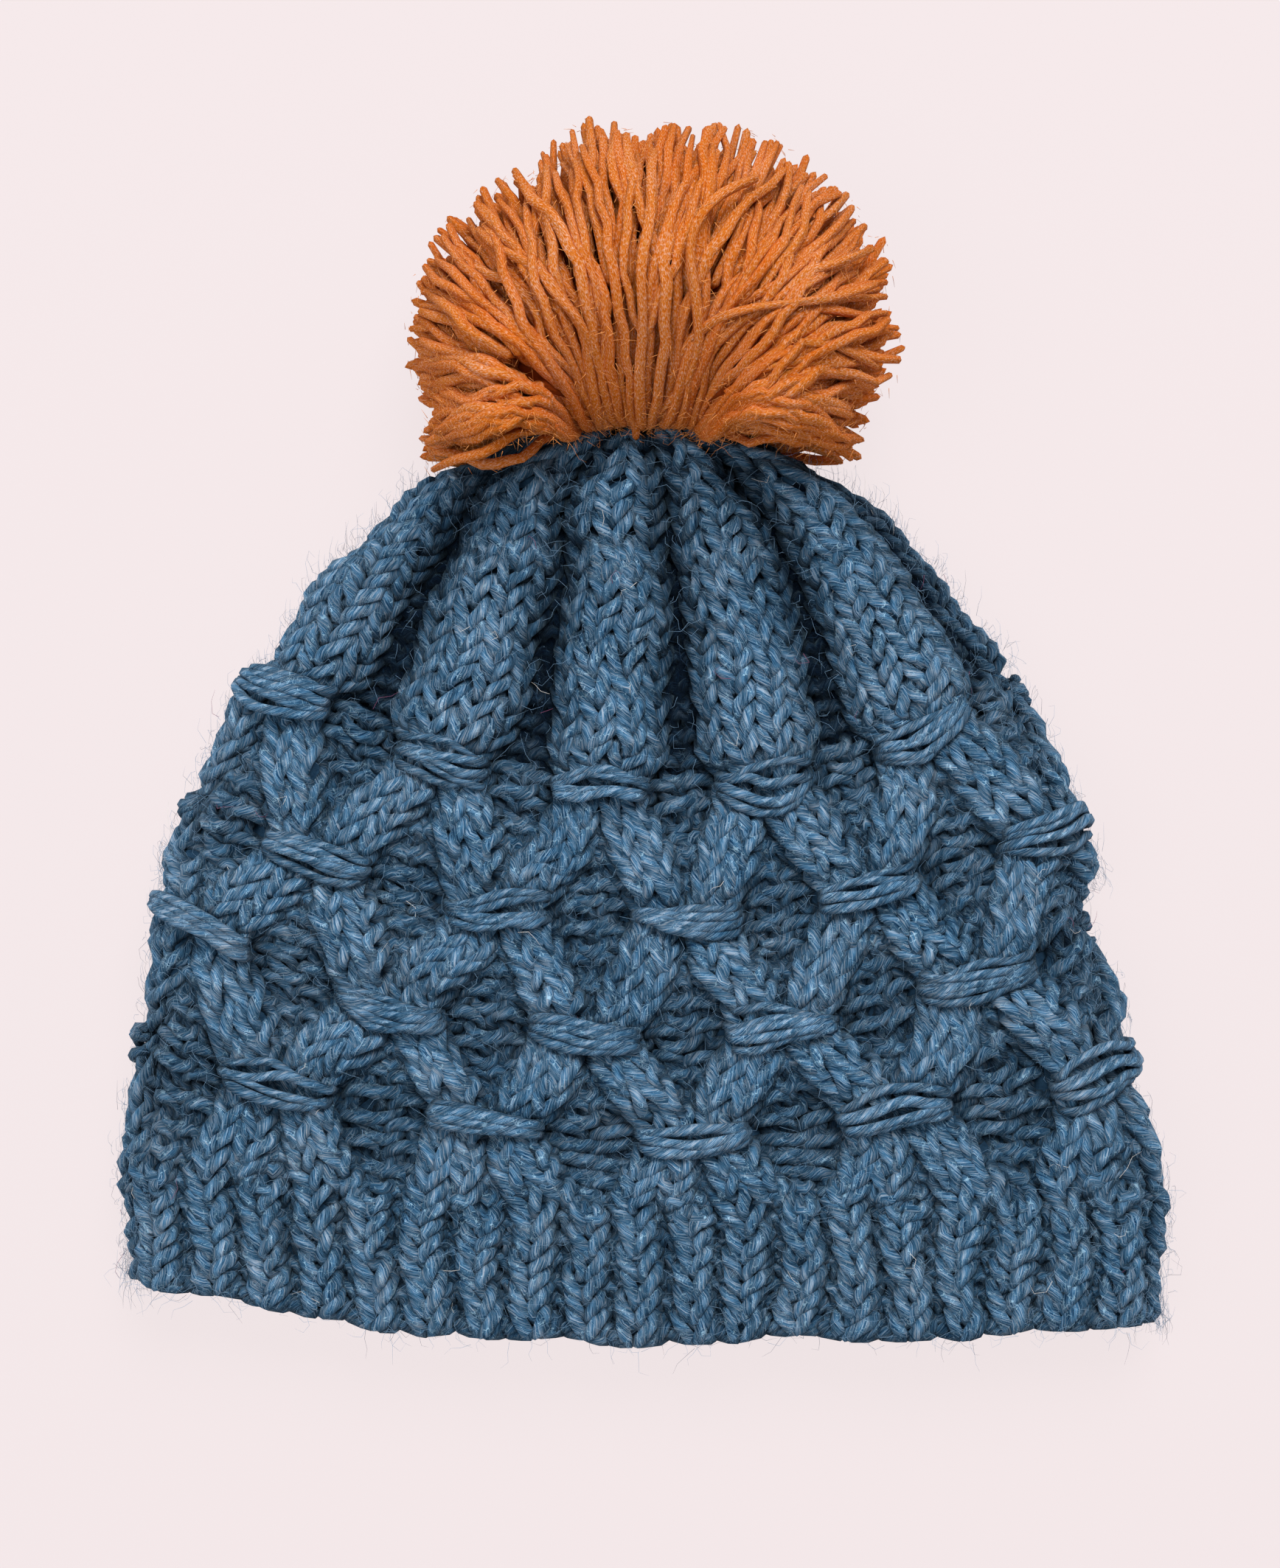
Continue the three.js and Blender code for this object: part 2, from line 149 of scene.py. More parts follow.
REPEATS = 10
REPEAT_STITCHES = 8
FRONT_REPEAT = 2.72           # the repeat that lies in the middle of the upper layer
UNDER_PRESS = 0.7             # share of the relief that the table presses flat
UNDER_WAIST = 0.7             # how much further the wraps bind the cloth in there
HEM_TOP = 6
CROWN_START = 27
WRAP_ROWS = {"d": (10, 0.0), "c": (15, 0.5), "b": (21, 0.0), "a": (27, 0.5)}
ROW_BEND = 1.95               # power of the rows' bend towards the folds
# How the hat lies, in mm, at some rows of stitches: the x of a row's ends, the y of its middle and ends, the
# radius of its folds and the height of its middle over the table.
LEVEL_COLUMNS = ("row", "left", "right", "middle_y", "left_y", "right_y", "loft", "lift")
LEVELS = dict(zip(LEVEL_COLUMNS, np.array([
    (0, -110.6, 110.8, -130.9, -118.0, -127.0, 8.2, 10.2),
    (6, -111.2, 110.4, -102.8, -92.5, -98.5, 9.0, 11.1),
    (10, -108.2, 103.6, -86.6, -66.5, -70.1, 9.5, 11.8),
    (15, -103.6, 96.8, -66.0, -37.4, -42.0, 9.5, 11.8),
    (21, -97.2, 92.2, -40.1, -15.5, -18.1, 9.5, 11.8),
    (27, -83.0, 79.8, -13.0, 13.1, 10.6, 9.5, 11.8),
    (32, -67.7, 66.6, 13.2, 32.0, 27.0, 9.8, 12.2),
    (37, -54.6, 52.8, 38.8, 45.6, 43.1, 10.0, 12.8),
    (41, -43.0, 38.4, 54.6, 54.0, 54.0, 9.0, 13.6),
    (42.5, -33.0, 29.0, 61.4, 59.8, 59.8, 6.4, 14.2),
    (44, -15.0, 12.0, 66.0, 66.0, 66.0, 2.4, 14.6)]).T))


def smooth_step(value, low, high):
    """0 below low, 1 above high, and an S-curve between."""
    t = np.clip((value - low) / (high - low), 0, 1)
    return t * t * (3 - 2 * t)


def mix(a, b, share):
    """a where share is 0, b where it is 1, and the straight line between."""
    return a + (b - a) * share


def level(key, row):
    """A column of the levels table at a row: cubic Hermite curves through its entries, whose slope at each
    entry is that of the line between its two neighbours."""
    rows, values = LEVELS["row"], LEVELS[key]
    at = np.clip(row, rows[0], rows[-1])
    last = len(rows) - 1
    i = np.clip(np.searchsorted(rows, at), 1, last)
    before, after = np.maximum(0, i - 2), np.minimum(last, i + 1)
    span = rows[i] - rows[i - 1]
    slope_a = (values[i] - values[before]) / (rows[i] - rows[before]) * span
    slope_b = (values[after] - values[i - 1]) / (rows[after] - rows[i - 1]) * span
    t = (at - rows[i - 1]) / span
    return (values[i - 1] * (2 * t**3 - 3 * t**2 + 1) + slope_a * (t**3 - 2 * t**2 + t)
            + values[i] * (3 * t**2 - 2 * t**3) + slope_b * (t**3 - t**2))


def gather_pull(row):
    """+1 where wraps gather the ribs round a whole repeat, -1 round a half, 0 in the hem: a zigzag between
    the wraps' rows, half rounded by a sine."""
    rows = [HEM_TOP] + [row for row, _ in WRAP_ROWS.values()]
    straight = np.interp(row, rows, [0] + [-1 if shift else 1 for _, shift in WRAP_ROWS.values()])
    return mix(straight, np.sin(straight * np.pi / 2), 0.5)


RIB_PULL = 0.95               # how far the wraps pull a rib aside, in eighths of a repeat
RIB_HALF_LOOSE, RIB_HALF_BOUND = 1.42, 1.04
RIB_ARC = np.radians(62)
BODY_RAISED, BODY_SUNK = 2.0, -2.0
HEM_RAISED, HEM_SUNK = 1.2, -2.5
CROWN_RAISED, CROWN_SUNK = 2.8, -6.0
WAIST_DEPTH = 2.2
SCALLOP = 0.26                # how far the edge dips under each column of knit, in rows


def crown_half(row):
    """Half the width of a crown rib, in eighths of a repeat."""
    return 4 * np.interp(row, [27, 28.5, 32, 37, 44], [0.51, 0.76, 0.82, 0.9, 0.96])


def rib_half(row):
    """Half the width of a body rib in eighths of a repeat: narrow on the wraps' rows, wide between them."""
    return mix(RIB_HALF_LOOSE, RIB_HALF_BOUND, np.abs(gather_pull(row))**1.5)


def stitch_place(stitch, row):
    """Where a stitch of the repeat lies across it, in eighths: evenly spread in the hem, in two ribs that
    the wraps pull from side to side in the body, and as the sine of its angle round a rib of the crown."""
    half = np.where(stitch <= 4, stitch, REPEAT_STITCHES - stitch)
    centre = 2 - RIB_PULL * gather_pull(row)
    near, far = centre - rib_half(row), centre + rib_half(row)
    body = np.where(half < 1, near * half, mix(near, far, (half - 1) / 2))
    body = np.where(half > 3, mix(far, 4, half - 3), body)
    body = np.where(stitch <= 4, body, REPEAT_STITCHES - body)
    body = mix(body, stitch, 1 - smooth_step(row, HEM_TOP - 0.5, HEM_TOP + 1))
    rib = crown_half(row)
    crown = 4 + rib * np.sin((stitch - 4) / 3 * RIB_ARC) / np.sin(RIB_ARC)
    crown = np.where(stitch < 1, stitch * (4 - rib), crown)
    crown = np.where(stitch > 7, REPEAT_STITCHES - (REPEAT_STITCHES - stitch) * (4 - rib), crown)
    return mix(body, crown, smooth_step(row, CROWN_START, CROWN_START + 1.5))


def relief(place, row):
    """Height of the cloth's middle over the plain layer: S-curves between raised ribs and sunk purl in the
    hem and the body, and the upper half of a circle between deep valleys in the crown."""
    centre = 2 - RIB_PULL * gather_pull(row)
    distance = np.minimum(np.abs(place - centre), np.abs(place - REPEAT_STITCHES + centre)) / rib_half(row)
    body = mix(BODY_RAISED, BODY_SUNK, smooth_step(distance, 0.60, 1.22))
    hem = mix(HEM_RAISED, HEM_SUNK, smooth_step(np.abs((place - 0.5) % 2 - 1), 0.52, 0.96))
    body = mix(body, hem, 1 - smooth_step(row, HEM_TOP - 0.5, HEM_TOP + 1.5))
    across = np.clip(np.abs(place - 4) / crown_half(row), 0, 1)
    crown = mix(CROWN_SUNK, CROWN_RAISED, np.sqrt(1 - 0.97 * across**2))
    return mix(body, crown, smooth_step(row, CROWN_START, CROWN_START + 1.5))


def waist(place, row):
    """How far the wraps bind the cloth in: a flat-bottomed dip under each wrap."""
    depth = 0.0
    for wrap_row, shift in WRAP_ROWS.values():
        aside = np.abs((place - shift * REPEAT_STITCHES + 12) % REPEAT_STITCHES - 4)
        near = np.exp(-((row - wrap_row) / 1.4)**4)
        depth = depth + WAIST_DEPTH * (1 - smooth_step(aside, 2.3, 3.2)) * near
    return depth


lie = np.random.default_rng(5)
RIPPLES = 10
ripple_ways = lie.normal(0, 1, (RIPPLES, 3))
ripple_ways /= np.linalg.norm(ripple_ways, axis=1, keepdims=True)
ripple_waves = ripple_ways * (2 * np.pi / lie.uniform(9, 34, (RIPPLES, 1)))
ripple_starts = lie.uniform(0, 2 * np.pi, RIPPLES)
ripple_pushes = lie.normal(0, 1, (RIPPLES, 3)) * (0.36, 0.36, 0.24)


def uneven(points):
    """The points moved as a soft hand-made thing lies: by about 1 mm, which is the sum of ten sine waves
    9 to 34 mm long, each with its own direction and its own push."""
    return points + np.sin(points @ ripple_waves.T + ripple_starts) @ ripple_pushes


def lay(turn, row, height_at):
    """The lying hat's points and outward directions. Each row is a stadium, two straight layers joined by
    half circles of radius loft, bent up towards its ends by a power of the distance from the middle;
    height_at gives the height over it from 0 on the upper layer to 1 where the layer faces the table."""
    left, right = level("left", row), level("right", row)
    loft, lift = level("loft", row), level("lift", row)
    half_width = (right - left) / 2
    straight = half_width - loft
    share = np.mod((turn - FRONT_REPEAT) / (REPEATS / 2) + 1, 2) - 1
    side = np.where(share < 0, -1.0, 1.0)
    run = np.abs(share) * (2 * straight + np.pi * loft)
    bend = np.clip((run - straight) / loft, 0, np.pi)
    flat = np.where(run < straight, run, straight - np.maximum(0, run - straight - np.pi * loft))
    height = height_at(np.maximum(0, -np.cos(bend)))
    aside = np.minimum(1, (flat + loft * np.sin(bend)) / half_width)
    edge_y = np.where(side < 0, level("left_y", row), level("right_y", row))
    y = mix(level("middle_y", row), edge_y, aside**ROW_BEND)
    x = (left + right) / 2 + side * (flat + (loft + height) * np.sin(bend))
    z = lift + (loft + height) * np.cos(bend)
    outward = np.stack([side * np.sin(bend), np.zeros_like(x), np.cos(bend)], -1)
    return uneven(np.stack([x, y, z], -1)), outward


def lay_cloth(turn, row, above):
    """Points at a height above the middle of the shaped cloth, by turn round the hat and row. The lowest
    rows hang down in a scallop under each column of the hem."""
    place = np.mod(turn, 1) * REPEAT_STITCHES
    shaped, bound = relief(place, row), waist(place, row)
    row = row - SCALLOP * np.cos(np.pi * (place - 1.5)) * np.exp(-np.maximum(row, 0) / 1.3)
    return lay(turn, row, lambda under: (
        shaped * (1 - UNDER_PRESS * under) - bound * (1 + UNDER_WAIST * under) + above))


def mesh_piece(name, points, shade_height, quads, triangles, quad_uv, triangle_uv, material):
    """A smooth piece from arrays of points in mm, of how far each stands out of the cloth in mm, which sets
    its painted shade, of four- and three-cornered faces and of their UVs."""
    mesh = bpy.data.meshes.new(name)
    corners = np.concatenate([quads.ravel(), triangles.ravel()])
    starts = np.concatenate([np.arange(len(quads)) * 4, len(quads) * 4 + np.arange(len(triangles)) * 3])
    mesh.vertices.add(len(points))
    mesh.vertices.foreach_set("co", (points * MM).ravel())
    mesh.loops.add(len(corners))
    mesh.loops.foreach_set("vertex_index", corners)
    mesh.polygons.add(len(starts))
    mesh.polygons.foreach_set("loop_start", starts)
    mesh.polygons.foreach_set("use_smooth", np.ones(len(starts), bool))
    mesh.update(calc_edges=True)
    uv = np.concatenate([quad_uv.reshape(-1, 2), triangle_uv.reshape(-1, 2)])
    mesh.uv_layers.new(name="yarn").data.foreach_set("uv", uv.ravel())
    mesh.attributes.new("shade_height", "FLOAT", "POINT").data.foreach_set("value", shade_height)
    mesh.materials.append(material)
    piece = bpy.data.objects.new(name, mesh)
    bpy.context.scene.collection.objects.link(piece)
    return piece


def yarn(lines, outward, height, radius, sides, closed, tip=0.3):
    """Round yarn along each line of points: rings of corners at even angles, square to the line, whose first
    corner faces inward. A closed line is joined end to end, an open one ends in cones of tip times its
    radius. The shade height, which sets painted shade, is the line's height plus the corner's share of the
    radius, so that the yarn's outer side is painted lighter and its inner side darker. The UV runs along the
    yarn in mm and once round it. Returns points, shade heights, quads, triangles and their UVs."""
    count, length = lines.shape[:2]
    ahead = np.roll(lines, -1, 1) - np.roll(lines, 1, 1)
    if not closed:
        ahead[:, 0], ahead[:, -1] = lines[:, 1] - lines[:, 0], lines[:, -1] - lines[:, -2]
    ahead /= np.linalg.norm(ahead, axis=-1, keepdims=True)
    across = np.cross(ahead, outward)
    across /= np.linalg.norm(across, axis=-1, keepdims=True) + 1e-9
    up = np.cross(across, ahead)
    angle = np.pi + np.arange(sides) * 2 * np.pi / sides
    radius = np.broadcast_to(radius, (count, length))[:, :, None, None]
    height = np.broadcast_to(height, (count, length))
    shade_height = (height[:, :, None] + radius[..., 0] * np.cos(angle)).ravel()
    rings = lines[:, :, None] + radius * (up[:, :, None] * np.cos(angle)[:, None]
                                          + across[:, :, None] * np.sin(angle)[:, None])
    points = rings.reshape(-1, 3)
    joins = length if closed else length - 1
    line, i, j = np.meshgrid(np.arange(count), np.arange(joins), np.arange(sides), indexing="ij")
    at = lambda ring, corner: (line * length + ring % length) * sides + corner % sides
    quads = np.stack([at(i, j), at(i, j + 1), at(i + 1, j + 1), at(i + 1, j)], -1).reshape(-1, 4)
    step = np.linalg.norm(np.roll(lines, -1, 1) - lines, axis=-1)
    along = np.concatenate([np.zeros((count, 1)), np.cumsum(step, 1)], 1)
    uv = lambda ring, corner: np.stack([along[line, ring], corner / sides], -1)
    quad_uv = np.stack([uv(i, j), uv(i, j + 1), uv(i + 1, j + 1), uv(i + 1, j)], -2).reshape(-1, 4, 2)
    if closed:
        return points, shade_height, quads, np.zeros((0, 3), int), quad_uv, np.zeros((0, 3, 2))
    tips = np.concatenate([lines[:, 0] - tip * ahead[:, 0] * radius[:, 0, 0],
                           lines[:, -1] + tip * ahead[:, -1] * radius[:, -1, 0]])
    shade_height = np.concatenate([shade_height, height[:, 0], height[:, -1]])
    first, corner = np.meshgrid(np.arange(count), np.arange(sides), indexing="ij")
    start, end = first * length * sides, (first * length + length - 1) * sides
    point = len(points) + first
    triangles = np.concatenate([
        np.stack([start + (corner + 1) % sides, start + corner, point], -1).reshape(-1, 3),
        np.stack([end + corner, end + (corner + 1) % sides, point + count], -1).reshape(-1, 3)])
    flat_uv = np.stack([np.zeros(len(triangles)), np.zeros(len(triangles))], -1)
    triangle_uv = np.stack([flat_uv, flat_uv + (0, 1 / sides), flat_uv + (1, 0.5 / sides)], -2)
    return np.concatenate([points, tips]), shade_height, quads, triangles, quad_uv, triangle_uv


def join_yarn(parts):
    """Several results of yarn() as one."""
    points, naps, quads, triangles, quad_uvs, triangle_uvs = zip(*parts)
    offsets = np.cumsum([0] + [len(part) for part in points[:-1]])
    return (np.concatenate(points), np.concatenate(naps),
            np.concatenate([part + offset for part, offset in zip(quads, offsets)]),
            np.concatenate([part + offset for part, offset in zip(triangles, offsets)]),
            np.concatenate(quad_uvs), np.concatenate(triangle_uvs))


HAIR_LINE = 0.013             # half the width of a painted hair, in values of its noise


def wool(name, dark, middle, light, seed, ply_mm=5.0, ply_shade=0.58, hair=0.6, low_shade_height=-0.9, high_shade_height=3.5,
         painted_shade_tint=(0.012, 0.03, 0.05), high_shade=1.36, haze=0.12, fibre_mm=3.0):
    """Hand-knitting wool, woollen spun in two soft plies and dyed in the fleece: matt and hairy, with fine
    streaks of lighter and darker fibre along the twist and curled loose hairs on top, the level lines of a
    smooth noise. Its colour also carries painted shade: darker in the groove between the plies, and, by how
    far the yarn stands out of the cloth, darker and purer deep in it and painted lighter where it stands
    proud."""
    material, tree = new_material(name)
    uv = add_node(tree, "ShaderNodeTexCoord").outputs["UV"]
    place = add_node(tree, "ShaderNodeTexCoord").outputs["Object"]
    split = add_node(tree, "ShaderNodeSeparateXYZ", {"Vector": uv})
    turns = add_node(tree, "ShaderNodeMath", {0: split.outputs["X"], 1: 1 / ply_mm}, operation="MULTIPLY")
    twist = add_node(tree, "ShaderNodeMath", {0: split.outputs["Y"], 1: 2.0, 2: turns.outputs[0]},
                     operation="MULTIPLY_ADD")
    groove = add_node(tree, "ShaderNodeMath", {0: twist.outputs[0], 1: 0.5}, operation="PINGPONG")
    ply = add_node(tree, "ShaderNodeMapRange", {"Value": groove.outputs[0], "From Max": 0.5},
                   interpolation_type="SMOOTHERSTEP")
    # Streaks of fibre, fibre_mm long and 0.25 mm wide, which follow the twist.
    streak_place = add_node(tree, "ShaderNodeCombineXYZ", {"X": split.outputs["X"], "Y": twist.outputs[0]})
    streak_scale = add_node(tree, "ShaderNodeVectorMath", {
        0: streak_place.outputs[0], 1: (1 / fibre_mm, 13.0, 1.0)}, operation="MULTIPLY")
    streaks = add_node(tree, "ShaderNodeTexNoise", {
        "Vector": streak_scale.outputs[0], "W": seed, "Scale": 1.0, "Detail": 3.0, "Roughness": 0.65},
        noise_dimensions="4D")
    # Patches of uneven dye, about 11 mm across.
    patches = add_node(tree, "ShaderNodeTexNoise", {
        "Vector": place, "W": seed, "Scale": 1 / (11 * MM), "Detail": 2.0}, noise_dimensions="4D")
    # Loose curled hairs: where a noise about 2 mm across passes through its middle value, and a second noise
    # lets it show.
    hair_lines = []
    for size_mm, offset in ((2.3, 0.0), (1.5, 4.0)):
        field = add_node(tree, "ShaderNodeTexNoise", {
            "Vector": place, "W": seed + offset, "Scale": 1 / (size_mm * MM), "Detail": 1.0,
            "Distortion": 0.6}, noise_dimensions="4D")
        away = add_node(tree, "ShaderNodeMath", {
            0: field.outputs[0], 1: 0.5, 2: HAIR_LINE}, operation="COMPARE")
        gate = add_node(tree, "ShaderNodeTexNoise", {
            "Vector": place, "W": seed + offset + 2, "Scale": 1 / (1.7 * MM)}, noise_dimensions="4D")
        shown = add_node(tree, "ShaderNodeMapRange", {
            "Value": gate.outputs[0], "From Min": 0.50, "From Max": 0.60, "To Max": hair})
        hair_lines.append(add_node(tree, "ShaderNodeMath", {0: away.outputs[0], 1: shown.outputs[0]},
                                   operation="MULTIPLY"))
    hairs_on_top = add_node(tree, "ShaderNodeMath", {
        0: hair_lines[0].outputs[0], 1: hair_lines[1].outputs[0]}, operation="MAXIMUM")
    # The dye's tone is six parts streak and one part patch.
    tone = add_node(tree, "ShaderNodeMath", {0: streaks.outputs[0], 1: 0.86}, operation="MULTIPLY")
    tone = add_node(tree, "ShaderNodeMath", {0: patches.outputs[0], 1: 0.14, 2: tone.outputs[0]},
                    operation="MULTIPLY_ADD")
    shades = add_node(tree, "ShaderNodeValToRGB", {"Fac": tone.outputs[0]})
    for stop, at, colour in zip((*shades.color_ramp.elements, shades.color_ramp.elements.new(0.5)),
                                (0.39, 0.66, 0.5), (dark, light, middle)):
        stop.position = at
        stop.color = linear(colour)
    haired = add_node(tree, "ShaderNodeMix", {
        "Factor": hairs_on_top.outputs[0], 6: shades.outputs[0], 7: linear(light)}, data_type="RGBA")
    # Painted shade: darker in the groove between the plies.
    groove_shade = add_node(tree, "ShaderNodeMapRange", {"Value": ply.outputs[0], "To Min": ply_shade})
    # Painted shade and light: by how far the yarn stands out of the cloth, darker and purer deep in it and
    # lighter where it stands proud.
    shade_height = add_node(tree, "ShaderNodeAttribute", attribute_name="shade_height")
    out = add_node(tree, "ShaderNodeMapRange", {
        "Value": shade_height.outputs["Fac"], "From Min": low_shade_height, "From Max": high_shade_height})
    out = add_node(tree, "ShaderNodeMath", {0: out.outputs[0], 1: 1.35}, operation="POWER")
    depth_shade = add_node(tree, "ShaderNodeVectorMath", {
        0: out.outputs[0], 1: tuple(high_shade - deep for deep in painted_shade_tint), 2: painted_shade_tint},
        operation="MULTIPLY_ADD")
    shaded = add_node(tree, "ShaderNodeVectorMath", {0: haired.outputs[2], 1: depth_shade.outputs[0]},
                      operation="MULTIPLY")
    colour = add_node(tree, "ShaderNodeVectorMath", {0: shaded.outputs[0], "Scale": groove_shade.outputs[0]},
                      operation="SCALE")
    height = add_node(tree, "ShaderNodeMath", {0: streaks.outputs[0], 1: 0.8, 2: ply.outputs[0]},
                      operation="MULTIPLY_ADD")
    height = add_node(tree, "ShaderNodeMath", {0: hairs_on_top.outputs[0], 1: 0.35, 2: height.outputs[0]},
                      operation="MULTIPLY_ADD")
    bump = add_node(tree, "ShaderNodeBump", {
        "Height": height.outputs[0], "Strength": 0.9, "Distance": 0.5 * MM})
    finish_material(tree, add_node(tree, "ShaderNodeBsdfPrincipled", {
        "Base Color": colour.outputs[0], "Normal": bump.outputs[0], "Roughness": 0.95,
        "Specular IOR Level": 0.05, "Sheen Weight": haze, "Sheen Roughness": 0.5,
        "Sheen Tint": linear(light)}))
    return material


blue_wool = wool("blue woollen-spun yarn", "#0c2d4b", "#426f90", "#a6cfe6", seed=3.0)

YARN_RADIUS = 1.62
LOOP_BULGE = 0.30             # how far a loop's shoulders swing out, in stitches
LOOP_LEAN = 0.06              # how far its head leans to the right of its feet, in stitches
LOOP_REACH = 0.95             # how far its head and feet reach, in courses
LOOP_DEPTH = 1.15             # mm that its legs stand proud and its head sinks
LOOP_POINTS = 14
YARN_SIDES = 6
CAST_ON_RADIUS = 1.3
UNEVEN_DRIFT = 0.055          # how unevenly the loops sit: aside, in stitches
UNEVEN_RISE = 0.06            # and along the hat, in courses
UNEVEN_REACH, UNEVEN_DEPTH, UNEVEN_THICK = 0.07, 0.14, 0.06
hand = np.random.default_rng(11)


def wander(count, amount):
    """A knitter's uneven hand: random values round a closed course, one for each stitch."""
    return hand.normal(0, amount, count)


def light_height(place, row, proud):
    """The height in mm that sets the painted shade of yarn that stands proud of the cloth's middle: a third
    of the relief down to the bottom of the body's purl and three quarters of what lies deeper, less a share
    of the waist under a wrap, for painted shade under the wraps, and less again up the crown, for painted
    shade between its tight-packed ribs and under the pompom."""
    shaped = relief(place, row)
    height = (0.33 * np.maximum(shaped, -2.6) + 0.75 * np.minimum(shaped + 2.6, 0)
              - 0.3 * waist(place, row) + proud)
    # Painted shade up the crown, between its tight-packed ribs and under the pompom.
    crown_shade_share = smooth_step(row, CROWN_START - 1, CROWN_START + 12)
    return height - crown_shade_share * (0.5 + 0.5 * np.maximum(0, 3 - height)) - 0.2 * (row > CROWN_START)


def knit_course(row, spacing, edges, faces, radius=YARN_RADIUS, loop_depth=LOOP_DEPTH):
    """One course of knitting as closed yarn. A stitch is a loop: across it the yarn goes evenly plus a sine
    of twice its phase, up and down as minus a cosine of its phase, and in and out as minus a cosine of twice
    its phase. A purl stitch has in and out swapped, and the two blend where they meet. edges are the borders
    of the stitches in a repeat, and faces holds +1 for knit and -1 for purl."""
    per_repeat = len(faces)
    count = REPEATS * per_repeat
    u = np.arange(count * LOOP_POINTS) / LOOP_POINTS
    stitch = u.astype(int)
    phase = u - stitch
    which = stitch % per_repeat
    after, before = (stitch + 1) % count, (stitch - 1) % count
    drift, head, depth = (wander(count, amount) for amount in (UNEVEN_DRIFT, UNEVEN_REACH, UNEVEN_DEPTH))
    rise, thick = wander(count, UNEVEN_RISE), wander(count, UNEVEN_THICK)
    swing = phase + LOOP_BULGE * np.sin(4 * np.pi * phase) - LOOP_LEAN * np.cos(2 * np.pi * phase)
    low, high = np.array(edges)[which], np.array(edges)[which + 1]
    across = low + (high - low) * swing + mix(drift[stitch], drift[after], phase)
    across += (stitch // per_repeat) * REPEAT_STITCHES
    top = np.sin(np.pi * phase)**2
    at_row = (row + mix(rise[stitch], rise[after], phase) * spacing
              - spacing * LOOP_REACH * (1 + head[stitch] * top) * np.cos(2 * np.pi * phase))
    kinds = np.array(faces, float)
    own = kinds[which]
    beside = np.where(phase < 0.5, kinds[before % per_repeat], kinds[after % per_repeat])
    face = mix((own + beside) / 2, own, smooth_step(np.minimum(phase, 1 - phase), 0, 0.2))
    proud = -face * loop_depth * (1 + depth[stitch] * top) * np.cos(4 * np.pi * phase)
    repeat = np.floor(across / REPEAT_STITCHES)
    place = stitch_place(across - repeat * REPEAT_STITCHES, at_row)
    line, outward = lay_cloth(repeat + place / REPEAT_STITCHES, at_row, proud)
    line[:, 2] = np.maximum(line[:, 2], radius * 0.7)
    height = light_height(place, at_row, proud)
    radius = radius * (1 + mix(thick[stitch], thick[after], phase))
    return yarn(line[None], outward[None], height[None], radius[None], YARN_SIDES, closed=True)


def knitted_piece(name, courses, material, node):
    """The courses as one piece in place of a CAD node, pressed flat where it meets the table."""
    points, *rest = join_yarn(courses)
    points[:, 2] = np.maximum(points[:, 2], 0.02)
    piece = mesh_piece(name, points, *rest, material)
    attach(piece, "root")
    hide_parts(node)
    return piece


HEM_EDGES = [0.2, 0.8, 2.2, 2.8, 4.2, 4.8, 6.2, 6.8, 8.2]
HEM_FACES = [-1, 1, -1, 1, -1, 1, -1, 1]
hem_courses = [knit_course(row, 1.0, HEM_EDGES, HEM_FACES) for row in np.arange(0.5, HEM_TOP)]

# The cast-on: two strands twisted round each other along the lower edge, one turn to a stitch, which dips a
# little under each column of knit.
turns = np.arange(REPEATS * REPEAT_STITCHES * 10) / 10
for start in (0, 0.5):
    wound = 2 * np.pi * (turns + start)
    cast_on_row = 0.12 - 0.22 * np.cos(wound) - SCALLOP * np.cos(np.pi * (turns - 1.5))
    cast_on_height = 1.15 * np.sin(wound)
    cast_on_line, cast_on_out = lay(turns / REPEAT_STITCHES, cast_on_row, lambda under: cast_on_height)
    cast_on_line[:, 2] = np.maximum(cast_on_line[:, 2], 0.9)
    # Painted shade: each strand is darker where it passes under the other.
    hem_courses.append(yarn(cast_on_line[None], cast_on_out[None], cast_on_height[None] * 0.5,
                            CAST_ON_RADIUS, YARN_SIDES, closed=True))
knitted_piece("ribbed_hem_knit", hem_courses, blue_wool, "ribbed_hem")

# Smocked body.
# Knit 2, purl 2 rib in the same yarn. The wraps draw the ribs together by turns, so that they zigzag and
# leave sunk lozenges of purl between them.

BODY_EDGES = list(range(9))
BODY_FACES = [-1, 1, 1, -1, -1, 1, 1, -1]
BODY_BANDS = [(6, 10, 4), (10, 15, 4), (15, 21, 5), (21, 27, 5)]


def courses_between(low, high, count, edges, faces, **yarn_size):
    """Evenly spaced courses between two rows."""
    spacing = (high - low) / count
    return [knit_course(low + spacing * (i + 0.5), spacing, edges, faces, **yarn_size) for i in range(count)]


for part, bands in (("low", BODY_BANDS[:2]), ("high", BODY_BANDS[2:])):
    courses = [course for band in bands for course in courses_between(*band, BODY_EDGES, BODY_FACES)]
    knitted_piece(f"smocked_body_knit_{part}", courses, blue_wool, "smocked_body")

# Crown.
# The purl between each pair of gathered ribs is decreased away, which leaves ten fat ribs of four knit
# columns with deep valleys between them; further up they narrow to three and two columns.

CROWN_LOOP_DEPTH = 1.5
CROWN_BANDS = [
    (27, 32, 5, [0, 1, 2.5, 4, 5.5, 7, 8], [-1, 1, 1, 1, 1, -1], 1.62),
    (31.9, 37.2, 5, [-1, 1, 2.5, 4, 5.5, 7], [-1, 1, 1, 1, 1], 1.62),
    (36.4, 41, 4, [-1, 1, 3, 5, 7], [-1, 1, 1, 1], 1.62),
    (40.6, 44, 3, [-1, 1, 4, 7], [-1, 1, 1], 1.45),
]
crown_courses = [course for low, high, count, edges, faces, radius in CROWN_BANDS
                 for course in courses_between(low, high, count, edges, faces, radius=radius,
                                               loop_depth=CROWN_LOOP_DEPTH)]
knitted_piece("crown_knit", crown_courses, blue_wool, "crown")

